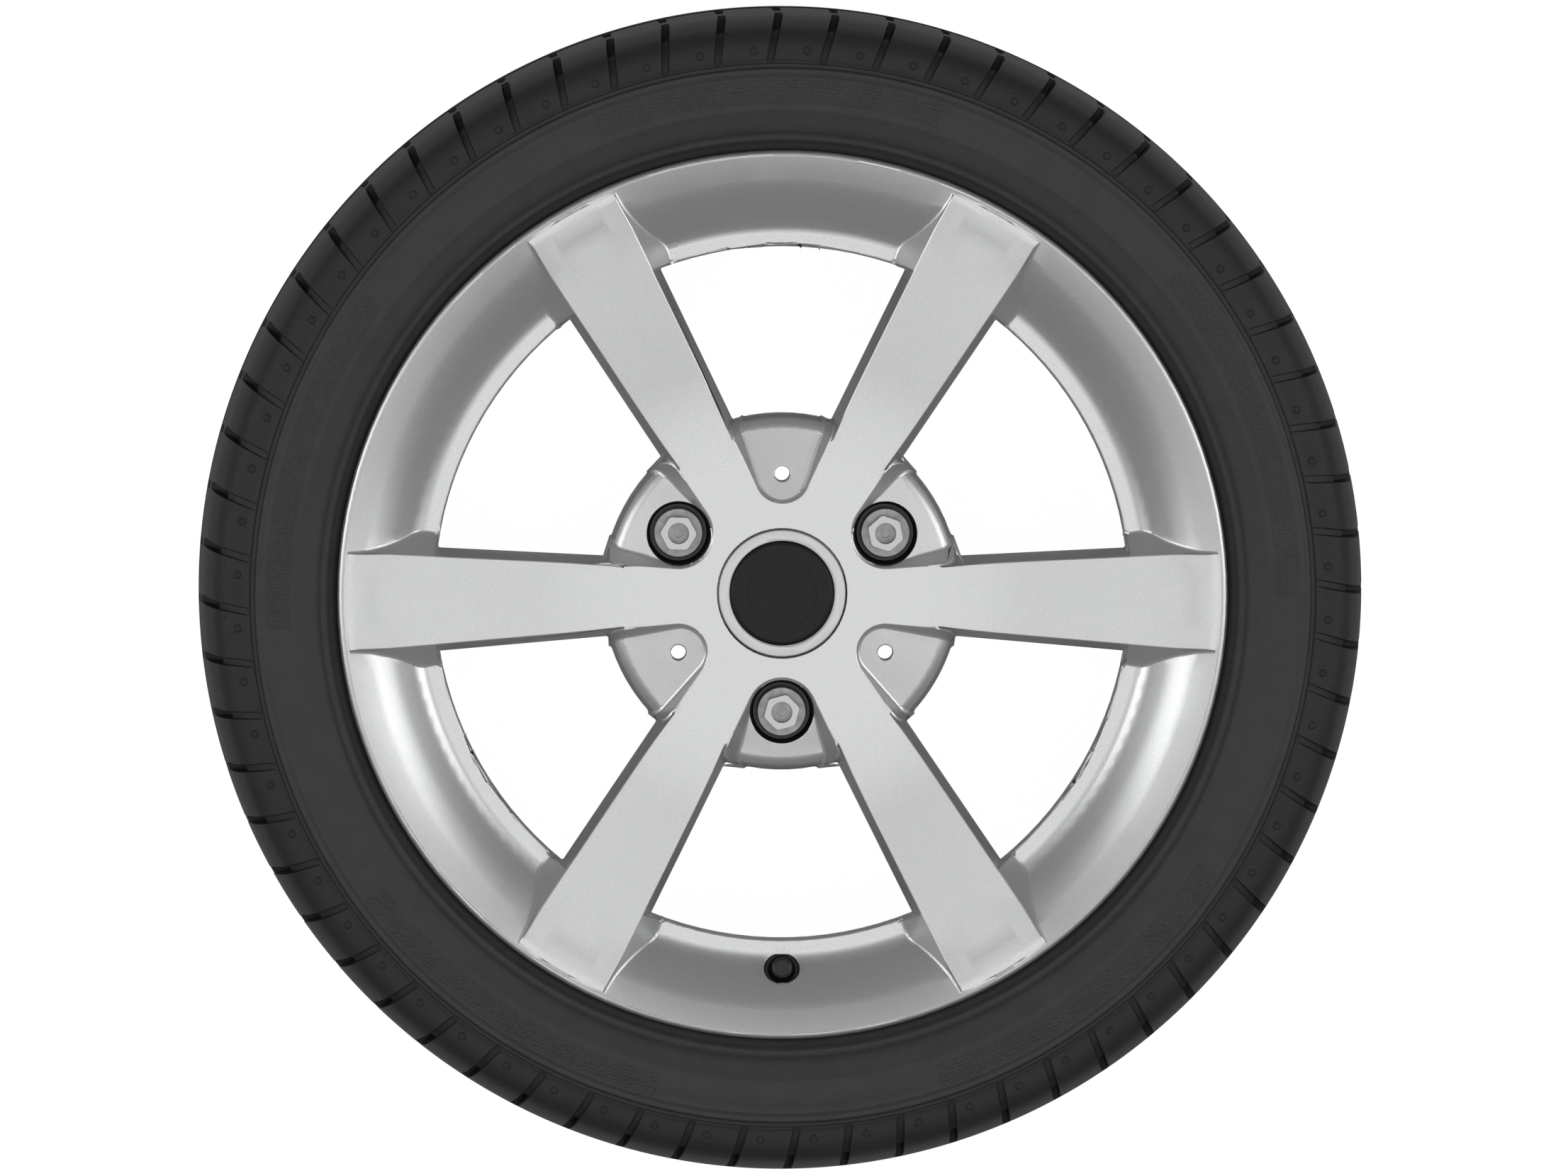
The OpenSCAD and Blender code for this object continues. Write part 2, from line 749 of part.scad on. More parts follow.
module cap_badge() {
    base_z = cap_top_z - badge_seat_d;
    color(black)
        rotate_extrude()
            difference() {
                translate([0, base_z]) square([badge_r, badge_t]);
                translate([badge_r - 2.6, base_z + badge_t - 2.6])
                    difference() {
                        square(3.6);
                        circle(2.6);
                    }
                // plain ring groove
                translate([15.6, base_z + badge_t - 0.3]) square([0.9, 1]);
            }
}

module cap_spring_ring() {
    hook_z = recess_floor_z - clip_lip_t - 0.2;
    color(steel)
        rotate([0, 0, 5])
            rotate_extrude(angle = 350)
                translate([clip_r - clip_t - ring_wire_r - slip, hook_z + 2.1 + ring_wire_r + slip])
                    circle(ring_wire_r, $fn = 32);
}

module valve_rubber() {
    foot_top = pocket_depth - 5;
    color(black)
        at_valve()
            difference() {
                union() {
                    // bulb on the tyre's side, neck in the hole, oval foot in the pocket
                    translate([0, 0, -valve_wall - slip - bulb_h + 1]) cylinder(h = bulb_h - 1, r = bulb_r);
                    translate([0, 0, -valve_wall - slip - bulb_h])
                        cylinder(h = 1, r1 = bulb_r - 1, r2 = bulb_r);
                    translate([0, 0, -valve_wall - 1]) cylinder(h = valve_wall + 3, r = valve_hole_r - slip);
                    translate([0, 0, slip])
                        linear_extrude(foot_top) oval(valve_pocket_r - fit, pocket_half);
                    translate([0, 0, foot_top]) cylinder(h = valve_l - stem_thread_l - foot_top,
                        r1 = valve_pocket_r - fit, r2 = cap_out_r - 0.2);
                }
                translate([0, 0, -valve_wall - bulb_h - 2]) cylinder(h = valve_l + bulb_h + 8, r = stem_r);
            }
}

module valve_stem() {
    low = -valve_wall - bulb_h;
    color(brass)
        at_valve()
            difference() {
                union() {
                    translate([0, 0, low]) cylinder(h = valve_l - low, r = stem_r - 0.02);
                    translate([0, 0, valve_l - stem_thread_l + slip])
                        cylinder(h = stem_thread_l - slip - 0.4, r = stem_thread_r);
                    translate([0, 0, valve_l - 0.4])
                        cylinder(h = 0.4, r1 = stem_thread_r, r2 = stem_thread_r - 0.4);
                }
                translate([0, 0, low - 1]) cylinder(h = valve_l - low + 2, r = stem_low_bore_r);
                translate([0, 0, core_low]) cylinder(h = valve_l, r = stem_bore_r);
                translate([0, 0, core_low - 1])
                    cylinder(h = 1, r1 = stem_low_bore_r, r2 = stem_bore_r);
            }
}

module core_body() {
    color(brass)
        at_valve()
            difference() {
                translate([0, 0, core_low + slip])
                    cylinder(h = core_top - core_low - slip, r = stem_bore_r - 0.05);
                // guide for the pin, spring chamber, and the groove of the sealing ring
                translate([0, 0, core_low - 1]) cylinder(h = core_top, r = pin_r + 0.15);
                translate([0, 0, core_low + slip + core_floor])
                    cylinder(h = spring_room + 1.2, r = spring_r + 0.5);
                translate([0, 0, core_low + 3])
                    difference() {
                        cylinder(h = 1.4, r = stem_bore_r + 1);
                        translate([0, 0, -1]) cylinder(h = 4, r = stem_bore_r - 0.45);
                    }
                // slots for the core tool
                translate([-3, 0.9, core_top - 2.4]) cube([6, 3, 4]);
                translate([-3, -3.9, core_top - 2.4]) cube([6, 3, 4]);
            }
}

module core_ring() {
    color([0.85, 0.3, 0.25])
        at_valve()
            translate([0, 0, core_low + 3.05])
                difference() {
                    cylinder(h = 1.3, r = stem_bore_r - 0.01);
                    translate([0, 0, -1]) cylinder(h = 4, r = stem_bore_r - 0.43);
                }
}

module core_pin() {
    collar_at = core_low + slip + core_floor + spring_room;
    color(brass)
        at_valve() {
            translate([0, 0, core_low - 1.2 - cup_h])
                cylinder(h = valve_l - 0.2 - core_low + 1.2 + cup_h, r = pin_r);
            translate([0, 0, collar_at]) cylinder(h = 0.5, r = spring_r + 0.3);
        }
}

module core_cup() {
    color(black)
        at_valve()
            translate([0, 0, core_low - cup_h])
                difference() {
                    cylinder(h = cup_h, r1 = stem_low_bore_r - 0.45, r2 = stem_low_bore_r - 0.25);
                    translate([0, 0, -1]) cylinder(h = cup_h + 2, r = pin_r + 0.01);
                }
}

// Wire ring number i of the spring's helix, and the helix itself
spring_steps = 10;
spring_sides = 6;
spring_l = spring_room - 0.1;
function coil_point(i, j) =
    let (turn = 360 * i / spring_steps, side = 360 * j / spring_sides,
        r = spring_r + spring_wire * cos(side))
    [r * cos(turn), r * sin(turn),
        spring_wire + (spring_l - 2 * spring_wire) * i / (spring_turns * spring_steps)
        + spring_wire * sin(side)];

module core_spring() {
    rings = spring_turns * spring_steps;
    points = [for (i = [0:rings]) for (j = [0:spring_sides - 1]) coil_point(i, j)];
    walls = [for (i = [0:rings - 1]) for (j = [0:spring_sides - 1])
        let (a = i * spring_sides + j, b = i * spring_sides + (j + 1) % spring_sides)
        for (t = [0:1])
            t == 0 ? [a, b, b + spring_sides] : [a, b + spring_sides, a + spring_sides]];
    start = [[for (j = [spring_sides - 1:-1:0]) j]];
    end = [[for (j = [0:spring_sides - 1]) rings * spring_sides + j]];
    color(steel)
        at_valve()
            translate([0, 0, core_low + slip + core_floor + 0.03])
                polyhedron(points = points, faces = concat(walls, start, end));
}

module valve_cap() {
    low = valve_l - stem_thread_l + fit;
    cap_l = valve_l + cap_over - low;
    color(black)
        at_valve()
            difference() {
                union() {
                    translate([0, 0, low]) cylinder(h = cap_l - 1.5, r = cap_out_r);
                    translate([0, 0, low + cap_l - 1.5])
                        rotate_extrude()
                            union() {
                                square([cap_out_r - 1.5, 1.5]);
                                intersection() {
                                    translate([cap_out_r - 1.5, 0]) circle(1.5);
                                    square([cap_out_r, 1.5]);
                                }
                            }
                }
                translate([0, 0, low - 1])
                    cylinder(h = valve_l + cap_seal_t + 1 + slip - low, r = stem_thread_r + slip);
                // grip flutes
                for (i = [0:11])
                    rotate([0, 0, i * 30])
                        translate([cap_out_r + 0.35, 0, low - 1]) cylinder(h = cap_l - 2.4, r = 0.8, $fn = 24);
            }
}

module valve_cap_seal() {
    color([0.2, 0.2, 0.22])
        at_valve()
            translate([0, 0, valve_l + 0.02])
                difference() {
                    cylinder(h = cap_seal_t, r = stem_thread_r - 0.1);
                    translate([0, 0, -1]) cylinder(h = 3, r = stem_bore_r);
                }
}

wheel_casting();
tyre();
wheel_bolt_1();
wheel_bolt_2();
wheel_bolt_3();
centre_cap();
cap_badge();
cap_spring_ring();
valve_rubber();
valve_stem();
core_body();
core_ring();
core_pin();
core_cup();
core_spring();
valve_cap();
valve_cap_seal();
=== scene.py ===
import math

import bmesh
import bpy
from mathutils import Matrix, Vector
from mathutils.kdtree import KDTree


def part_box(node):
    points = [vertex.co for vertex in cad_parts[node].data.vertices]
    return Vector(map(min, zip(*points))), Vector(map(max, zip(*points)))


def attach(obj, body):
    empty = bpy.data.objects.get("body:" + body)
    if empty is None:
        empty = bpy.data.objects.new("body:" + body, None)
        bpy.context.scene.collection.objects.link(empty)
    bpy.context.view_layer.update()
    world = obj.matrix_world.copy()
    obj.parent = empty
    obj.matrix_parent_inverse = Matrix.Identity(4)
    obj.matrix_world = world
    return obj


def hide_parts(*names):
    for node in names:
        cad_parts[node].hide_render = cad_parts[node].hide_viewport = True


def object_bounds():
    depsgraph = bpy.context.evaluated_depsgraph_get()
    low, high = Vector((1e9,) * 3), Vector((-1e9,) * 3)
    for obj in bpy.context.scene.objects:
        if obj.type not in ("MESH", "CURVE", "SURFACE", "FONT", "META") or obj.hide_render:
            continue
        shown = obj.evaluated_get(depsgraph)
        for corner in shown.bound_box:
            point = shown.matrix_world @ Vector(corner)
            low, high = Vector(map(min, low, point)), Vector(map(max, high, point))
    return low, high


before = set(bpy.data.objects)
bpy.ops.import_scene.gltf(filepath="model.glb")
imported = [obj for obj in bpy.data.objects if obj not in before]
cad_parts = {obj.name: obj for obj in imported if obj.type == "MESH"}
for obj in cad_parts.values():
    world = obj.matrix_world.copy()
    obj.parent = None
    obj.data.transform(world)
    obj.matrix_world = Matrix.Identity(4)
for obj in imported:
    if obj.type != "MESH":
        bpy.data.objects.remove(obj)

cad_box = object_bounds()

# Camera. A long lens looks almost straight down the wheel's axis, from a little above it,
# so the wheel shows nearly round, as in the studio picture.
towards_lens = Vector((-0.0245, 0.069, 1.0)).normalized()
lens_up = towards_lens.cross(Vector((1, 0, 0))).normalized()
lens_right = lens_up.cross(towards_lens)
lens_at = Vector((0, 0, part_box("wheel_casting")[1][2])) + towards_lens * 4.0
bpy.ops.object.camera_add(location=lens_at)
studio_camera = bpy.context.object
studio_camera.name = "studio_camera"
studio_camera.rotation_euler = Matrix((lens_right, lens_up, towards_lens)).transposed().to_euler()
studio_camera.data.lens = 197.2
studio_camera.data.sensor_width = 36.0
studio_camera.data.shift_x = 1.1 / 2212
studio_camera.data.shift_y = 12.0 / 2212
studio_camera.data.clip_end = 50
bpy.context.scene.camera = studio_camera
bpy.context.scene.view_settings.view_transform = "Standard"

# Studio floor. A white sheet under the wheel. The camera sees it as white, with only a
# faint shadow.
floor_z = cad_box[0][2] - 0.0005
bpy.ops.mesh.primitive_plane_add(size=14, location=(0, 0, floor_z))
studio_floor = bpy.context.object
studio_floor.name = "studio_floor"
paper = bpy.data.materials.new("white_paper")
paper.use_nodes = True
nodes, links = paper.node_tree.nodes, paper.node_tree.links
nodes.clear()
paper_out = nodes.new("ShaderNodeOutputMaterial")
paper_lit = nodes.new("ShaderNodeBsdfDiffuse")
paper_lit.inputs["Color"].default_value = (0.85, 0.85, 0.85, 1)
paper_glow = nodes.new("ShaderNodeEmission")
paper_glow.inputs["Color"].default_value = (1, 1, 1, 1)
paper_glow.inputs["Strength"].default_value = 1.09
paper_seen = nodes.new("ShaderNodeMixShader")
paper_rays = nodes.new("ShaderNodeLightPath")
paper_share = nodes.new("ShaderNodeMath")
paper_share.operation = "MULTIPLY"
paper_share.inputs[1].default_value = 0.9
links.new(paper_rays.outputs["Is Camera Ray"], paper_share.inputs[0])
links.new(paper_share.outputs[0], paper_seen.inputs["Fac"])
links.new(paper_lit.outputs[0], paper_seen.inputs[1])
links.new(paper_glow.outputs[0], paper_seen.inputs[2])
links.new(paper_seen.outputs[0], paper_out.inputs["Surface"])
studio_floor.data.materials.append(paper)

# Light. One wide soft box round the lens and two weaker ones at the sides, in a dim room
# that the camera sees as white.
room = bpy.data.worlds.new("studio_room")
bpy.context.scene.world = room
room.use_nodes = True
nodes, links = room.node_tree.nodes, room.node_tree.links
nodes.clear()
room_out = nodes.new("ShaderNodeOutputWorld")
room_light = nodes.new("ShaderNodeBackground")
room_light.inputs["Color"].default_value = (1, 1, 1, 1)
room_light.inputs["Strength"].default_value = 0.2
room_seen = nodes.new("ShaderNodeBackground")
room_seen.inputs["Color"].default_value = (1, 1, 1, 1)
room_seen.inputs["Strength"].default_value = 1.0
room_rays = nodes.new("ShaderNodeLightPath")
room_mix = nodes.new("ShaderNodeMixShader")
links.new(room_rays.outputs["Is Camera Ray"], room_mix.inputs["Fac"])
links.new(room_light.outputs[0], room_mix.inputs[1])
links.new(room_seen.outputs[0], room_mix.inputs[2])
links.new(room_mix.outputs[0], room_out.inputs["Surface"])

for name, place, size, power in [
    ("soft_box_front", (0.1, -0.3, 4.6), (3.6, 3.2), 41),
    ("soft_box_left", (-2.0, 0.3, 1.8), (1.2, 1.6), 16),
    ("soft_box_right", (2.0, 0.3, 1.8), (1.2, 1.6), 16),
]:
    bpy.ops.object.light_add(type="AREA", location=place)
    soft_box = bpy.context.object
    soft_box.name = name
    soft_box.data.shape = "RECTANGLE"
    soft_box.data.size, soft_box.data.size_y = size
    soft_box.data.energy = power
    soft_box.rotation_euler = Vector(place).to_track_quat("Z", "Y").to_euler()

# Wheel. One aluminium casting, machined on its rim and sprayed with satin silver lacquer.
# A copy of the CAD solid: its triangles are joined, its front edges and the feet of its
# walls are rounded as the mould rounds them, and the lip is turned anew with its fine line.
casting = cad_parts["wheel_casting"]
wheel = casting.copy()
wheel.data = casting.data.copy()
wheel.name = "alloy_wheel"
bpy.context.collection.objects.link(wheel)
bpy.ops.object.select_all(action="DESELECT")
wheel.select_set(True)
bpy.context.view_layer.objects.active = wheel
bpy.ops.object.mode_set(mode="EDIT")
bpy.ops.mesh.select_all(action="SELECT")
bpy.ops.mesh.remove_doubles(threshold=0.00012)
bpy.ops.mesh.dissolve_limited(angle_limit=math.radians(0.15))
bpy.ops.mesh.select_all(action="SELECT")
bpy.ops.mesh.dissolve_degenerate(threshold=0.00005)

# the lip: its old faces go, and the loop left round the band is extruded along the profile
lip_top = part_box("wheel_casting")[1][2]
bpy.ops.mesh.select_mode(type="FACE")
bpy.ops.mesh.select_all(action="DESELECT")
mesh = bmesh.from_edit_mesh(wheel.data)
for face in mesh.faces:
    if all(v.co.xy.length > 0.2044 and v.co.z > lip_top - 0.0024 for v in face.verts):
        face.select = True
bmesh.update_edit_mesh(wheel.data)
bpy.ops.mesh.delete(type="FACE")
bpy.ops.mesh.select_mode(type="EDGE")
mesh = bmesh.from_edit_mesh(wheel.data)
for edge in mesh.edges:
    edge.select = edge.is_boundary and all(v.co.xy.length < 0.2048 for v in edge.verts)
mesh.select_flush(False)
bmesh.update_edit_mesh(wheel.data)
lip_r, lip_z = 0.2046, lip_top
for to_r, to_z in [
    (0.20465, -0.00006),
    (0.20475, -0.00034),
    (0.20493, -0.00034),
    (0.20503, -0.00006),
    (0.20512, 0.0),
    (0.2058, -0.00006),
    (0.20645, -0.00031),
    (0.20698, -0.0007),
    (0.20735, -0.00123),
    (0.20756, -0.0019),
    (0.2076, -0.0023),
]:
    bpy.ops.mesh.extrude_edges_move()
    bpy.ops.transform.resize(value=(to_r / lip_r, to_r / lip_r, 1), center_override=(0, 0, 0))
    bpy.ops.transform.translate(value=(0, 0, lip_top + to_z - lip_z))
    lip_r, lip_z = to_r, lip_top + to_z
mesh = bmesh.from_edit_mesh(wheel.data)
for edge in mesh.edges:
    edge.select = edge.is_boundary and all(v.co.xy.length > 0.207 for v in edge.verts)
mesh.select_flush(False)
bmesh.update_edit_mesh(wheel.data)
bpy.ops.mesh.bridge_edge_loops()
bpy.ops.mesh.select_all(action="SELECT")
bpy.ops.mesh.normals_make_consistent(inside=False)
bpy.ops.object.mode_set(mode="OBJECT")

# rounding: 0.6 mm on the outer edges, 1.2 mm at the feet of the walls and less by the bolts
bolt_circle_r = 0.056
bolt_turns = (30, 150, 270)
bolt_spots = [
    Vector((bolt_circle_r * math.cos(math.radians(a)), bolt_circle_r * math.sin(math.radians(a))))
    for a in bolt_turns
]
mesh = bmesh.new()
mesh.from_mesh(wheel.data)
weight = mesh.edges.layers.float.new("bevel_weight_edge")
old_points = [v.co.copy() for v in mesh.verts]
edge_points = []
for edge in mesh.edges:
    middle = (edge.verts[0].co + edge.verts[1].co) / 2
    if len(edge.link_faces) != 2 or middle.z < 0.002 or not 0.030 < middle.xy.length < 0.203:
        continue
    turn = edge.calc_face_angle_signed(0)
    if abs(turn) < math.radians(24):
        continue
    by_bolt = min((middle.xy - spot).length for spot in bolt_spots)
    if by_bolt < 0.019 or middle.xy.length < 0.034:
        edge[weight] = 0.3
    else:
        edge[weight] = 1.0 if turn < 0 else 0.5
    steps = max(1, int(edge.calc_length() / 0.0008))
    for i in range(steps + 1):
        edge_points.append(edge.verts[0].co.lerp(edge.verts[1].co, i / steps))
mesh.to_mesh(wheel.data)
mesh.free()
rounding = wheel.modifiers.new("rounding", "BEVEL")
rounding.limit_method = "WEIGHT"
rounding.width = 0.0012
rounding.segments = 3
rounding.use_clamp_overlap = False
rounding.miter_outer = "MITER_ARC"
bpy.ops.object.modifier_apply(modifier=rounding.name)

# points that the rounding has thrown far from any edge go back to it
old_tree = KDTree(len(old_points))
for i, point in enumerate(old_points):
    old_tree.insert(point, i)
old_tree.balance()
edge_tree = KDTree(len(edge_points))
for i, point in enumerate(edge_points):
    edge_tree.insert(point, i)
edge_tree.balance()
for vertex in wheel.data.vertices:
    if old_tree.find(vertex.co)[2] > 0.0000005:
        nearest, _, away = edge_tree.find(vertex.co)
        if away > 0.00175:
            vertex.co = nearest
bpy.ops.object.mode_set(mode="EDIT")
bpy.ops.mesh.select_all(action="SELECT")
bpy.ops.mesh.dissolve_degenerate(threshold=0.00002)
bpy.ops.object.mode_set(mode="OBJECT")
bpy.ops.object.shade_smooth_by_angle(angle=math.radians(30))
even = wheel.modifiers.new("even_normals", "WEIGHTED_NORMAL")
even.keep_sharp = True
bpy.ops.object.modifier_apply(modifier=even.name)

# painted shade: the walls of the bolt pockets are painted near black where shade falls in them,
# darkest towards the seat
pocket_painted_shade = wheel.data.attributes.new("pocket_painted_shade", "FLOAT", "POINT")
for i, vertex in enumerate(wheel.data.vertices):
    to_bolt = min((vertex.co.xy - spot).length for spot in bolt_spots)
    if to_bolt < 0.015 and vertex.co.z > 0.002:
        pocket_painted_shade.data[i].value = 1.0

lacquer = bpy.data.materials.new("silver_lacquer")
lacquer.use_nodes = True
nodes, links = lacquer.node_tree.nodes, lacquer.node_tree.links
lacquer_skin = nodes["Principled BSDF"]
lacquer_skin.inputs["Metallic"].default_value = 0.84
lacquer_skin.inputs["Roughness"].default_value = 0.36
lacquer_skin.inputs["Coat Weight"].default_value = 0.2
lacquer_skin.inputs["Coat Roughness"].default_value = 0.2
flake_place = nodes.new("ShaderNodeTexCoord")
flake = nodes.new("ShaderNodeTexNoise")
flake.inputs["Scale"].default_value = 1900
flake.inputs["Detail"].default_value = 2
flake_tone = nodes.new("ShaderNodeValToRGB")
flake_tone.color_ramp.elements[0].position = 0.3
flake_tone.color_ramp.elements[0].color = (0.60, 0.605, 0.61, 1)
flake_tone.color_ramp.elements[1].position = 0.7
flake_tone.color_ramp.elements[1].color = (0.71, 0.715, 0.72, 1)
flake_bump = nodes.new("ShaderNodeBump")
flake_bump.inputs["Strength"].default_value = 0.05
flake_bump.inputs["Distance"].default_value = 0.0002
links.new(flake_place.outputs["Object"], flake.inputs["Vector"])
links.new(flake.outputs["Fac"], flake_tone.inputs["Fac"])
lacquer_pocket_shade = nodes.new("ShaderNodeAttribute")
lacquer_pocket_shade.attribute_name = "pocket_painted_shade"
lacquer_mix = nodes.new("ShaderNodeMix")
lacquer_mix.data_type = "RGBA"
# near black: the painted shade in the bolt pockets
lacquer_mix.inputs["B"].default_value = (0.035, 0.035, 0.035, 1)
links.new(lacquer_pocket_shade.outputs["Fac"], lacquer_mix.inputs["Factor"])
links.new(flake_tone.outputs["Color"], lacquer_mix.inputs["A"])
links.new(lacquer_mix.outputs["Result"], lacquer_skin.inputs["Base Color"])
links.new(flake.outputs["Fac"], flake_bump.inputs["Height"])
links.new(flake_bump.outputs["Normal"], lacquer_skin.inputs["Normal"])
wheel.data.materials.clear()
wheel.data.materials.append(lacquer)
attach(wheel, "wheel")
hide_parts("wheel_casting")

# Tyre. One moulded and cured rubber tyre with plain walls: a guard rib by the lip, two fine
# ribs under the shoulder, 64 blocks a side with slanted cuts, and a raised dot on each block.
# One pitch of it is spun from its outline, its two cuts are pressed in, and it is repeated.
middle_z = (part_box("tyre")[0][2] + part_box("tyre")[1][2]) / 2
wall = [
    (192.5, 54.6), (196.4, 56.7), (199.6, 56.9), (202.4, 57.4), (205.4, 59.3), (207.3, 62.4),
    (209.2, 64.0), (210.8, 65.2), (211.6, 66.6), (212.3, 68.6), (212.9, 69.3), (214.3, 69.6),
    (215.2, 70.0), (215.8, 70.8), (216.4, 72.6), (217.4, 73.5), (219.5, 74.3), (222.5, 75.4),
    (225.8, 76.4), (226.4, 76.7), (227.0, 76.65), (229.0, 76.8), (232.0, 76.95), (235.0, 76.9),
    (238.0, 76.6), (240.8, 76.0), (241.4, 76.15), (242.0, 75.9), (243.0, 75.5), (243.6, 75.7),
    (244.4, 75.9), (245.2, 75.7), (245.7, 75.1), (246.1, 73.9), (246.9, 73.6), (247.6, 73.7),
    (248.2, 74.3), (248.8, 74.4), (249.5, 74.1), (251.5, 74.05), (254.0, 73.95), (256.5, 73.75),
    (258.3, 73.3), (260.2, 72.5), (262.0, 71.5),
]
shoulder_r, shoulder_h, shoulder_curve = 221.07, 44.025, 50
for i in range(1, 9):
    turn = math.radians(33 + (9.2 - 33) * i / 8)
    out, across = shoulder_curve * math.cos(turn), shoulder_curve * math.sin(turn)
    wall.append((shoulder_r + out, shoulder_h + across))
tread_curve = 326
for across in (46.0, 40.0, 33.0, 27.0, 25.6):
    wall.append((274.6 - tread_curve + math.sqrt(tread_curve**2 - across**2), across))
wall += [(273.0, 25.0), (267.6, 24.6), (267.0, 24.0), (267.0, 18.0), (267.6, 17.4), (273.2, 17.0)]
wall += [(274.1, 16.4), (274.45, 10.0), (274.55, 5.0)]
lining = [(262.0, 0.0), (262.0, 20.0), (260.0, 42.0), (254.0, 57.0), (245.0, 65.5), (232.0, 69.0)]
lining += [(219.0, 66.4), (210.0, 59.0), (203.0, 50.0), (198.5, 41.0), (190.6, 40.6), (189.4, 41.4)]
outline = wall + [(274.6, 0.0)] + [(r, -h) for r, h in reversed(wall)]
outline += [(r, -h) for r, h in reversed(lining[1:])] + lining
widest_r = 274.4
tyre_mesh = bpy.data.meshes.new("road_tyre")
tyre_mesh.from_pydata(
    [(min(r, widest_r) / 1000, 0, middle_z + h / 1000) for r, h in outline],
    [(i, (i + 1) % len(outline)) for i in range(len(outline))],
    [],
)
tyre = bpy.data.objects.new("road_tyre", tyre_mesh)
bpy.context.collection.objects.link(tyre)
bpy.ops.object.select_all(action="DESELECT")
tyre.select_set(True)
bpy.context.view_layer.objects.active = tyre
bpy.ops.object.mode_set(mode="EDIT")
bpy.ops.mesh.select_all(action="SELECT")
pitch = 2 * math.pi / 64
columns = [0.022, 0.11, 0.022, 0.173, 0.173, 0.022, 0.11, 0.022, 0.173, 0.173]
for share in columns:
    bpy.ops.mesh.spin(steps=1, angle=-pitch * share, center=(0, 0, 0), axis=(0, 0, 1))
bpy.ops.object.mode_set(mode="OBJECT")

# cuts: two columns a side go down into the rubber, and the columns lean with the radius
blocks_in, blocks_out, tread_r = 0.2485, 0.2625, 0.2705
groove_edge, shoulder_edge, cut_end = 0.0244, 0.0525, 0.06
for vertex in tyre.data.vertices:
    r, h = vertex.co.xy.length, vertex.co.z - middle_z
    turn = math.atan2(vertex.co.y, vertex.co.x)
    column = (turn / pitch) % 1.0
    cut_from = 0.022 if h > 0 else 0.522
    away = abs(h)
    in_cut = cut_from - 0.004 < column < cut_from + 0.114
    on_block = blocks_in < r and (r > 0.2725 or away > 0.05)
    off_groove = away > groove_edge and not (r < tread_r and away < 0.03)
    if in_cut and on_block and off_groove:
        if away < shoulder_edge:
            r -= 0.0068
        elif r > blocks_out:
            share = (r - blocks_out) / (tread_r - blocks_out)
            r -= 0.0026 + 0.0042 * min(1, share)
            h -= math.copysign(0.0022 * (1 - min(1, share)), h)
        else:
            h -= math.copysign(0.0004 + 0.0028 * (r - blocks_in) / 0.014, h)
    if away > 0.0165 and r > 0.2:
        lean = 0.85 * max(0.0, 0.2715 - max(r, blocks_in)) - 0.12 * (cut_end - min(away, cut_end))
        turn += math.copysign(lean, h)
    vertex.co = Vector((r * math.cos(turn), r * math.sin(turn), middle_z + h))

# a raised dot with a crown and a small pip on the block, then the pitch is repeated 63 times
bpy.ops.object.select_all(action="DESELECT")
dots = []
for dot_r, dot_h, dot_w, dot_up, dot_turn in [
    (0.2538, 0.07405, 0.0024, 0.0011, 0.58),
    (0.2538, 0.0743, 0.0013, 0.0013, 0.58),
    (0.2600, 0.0725, 0.0006, 0.0009, 0.36),
]:
    turn = pitch * dot_turn
    bpy.ops.mesh.primitive_cone_add(
        vertices=14,
        radius1=dot_w,
        radius2=dot_w * 0.55,
        depth=dot_up,
        location=(dot_r * math.cos(turn), dot_r * math.sin(turn), middle_z + dot_h),
    )
    dots.append(bpy.context.object)
bpy.ops.object.select_all(action="DESELECT")
for dot in dots:
    dot.select_set(True)
tyre.select_set(True)
bpy.context.view_layer.objects.active = tyre
bpy.ops.object.join()
for count in (1, 2, 4, 8, 16, 32):
    bpy.ops.object.mode_set(mode="EDIT")
    bpy.ops.mesh.select_all(action="SELECT")
    bpy.ops.mesh.duplicate()
    bpy.ops.object.mode_set(mode="OBJECT")
    swing = Matrix.Rotation(pitch * count, 4, "Z")
    for vertex in tyre.data.vertices:
        if vertex.select:
            vertex.co = swing @ vertex.co
bpy.ops.object.mode_set(mode="EDIT")
bpy.ops.mesh.select_all(action="SELECT")
bpy.ops.mesh.remove_doubles(threshold=0.00002)
bpy.ops.mesh.normals_make_consistent(inside=False)
bpy.ops.object.mode_set(mode="OBJECT")
bpy.ops.object.shade_smooth_by_angle(angle=math.radians(32))

rubber = bpy.data.materials.new("tyre_rubber")
rubber.use_nodes = True
nodes, links = rubber.node_tree.nodes, rubber.node_tree.links
rubber_skin = nodes["Principled BSDF"]
rubber_skin.inputs["Roughness"].default_value = 0.55
rubber_skin.inputs["Specular IOR Level"].default_value = 0.35
rubber_place = nodes.new("ShaderNodeTexCoord")
rubber_parts = nodes.new("ShaderNodeSeparateXYZ")
rubber_across = nodes.new("ShaderNodeMath")
rubber_across.operation = "MULTIPLY"
rubber_up = nodes.new("ShaderNodeMath")
rubber_up.operation = "MULTIPLY_ADD"
rubber_r = nodes.new("ShaderNodeMath")
rubber_r.operation = "SQRT"
links.new(rubber_place.outputs["Object"], rubber_parts.inputs[0])
links.new(rubber_parts.outputs["X"], rubber_across.inputs[0])
links.new(rubber_parts.outputs["X"], rubber_across.inputs[1])
links.new(rubber_parts.outputs["Y"], rubber_up.inputs[0])
links.new(rubber_parts.outputs["Y"], rubber_up.inputs[1])
links.new(rubber_across.outputs[0], rubber_up.inputs[2])
links.new(rubber_up.outputs[0], rubber_r.inputs[0])
rubber_turn = nodes.new("ShaderNodeMath")
rubber_turn.operation = "ARCTAN2"
links.new(rubber_parts.outputs["Y"], rubber_turn.inputs[0])
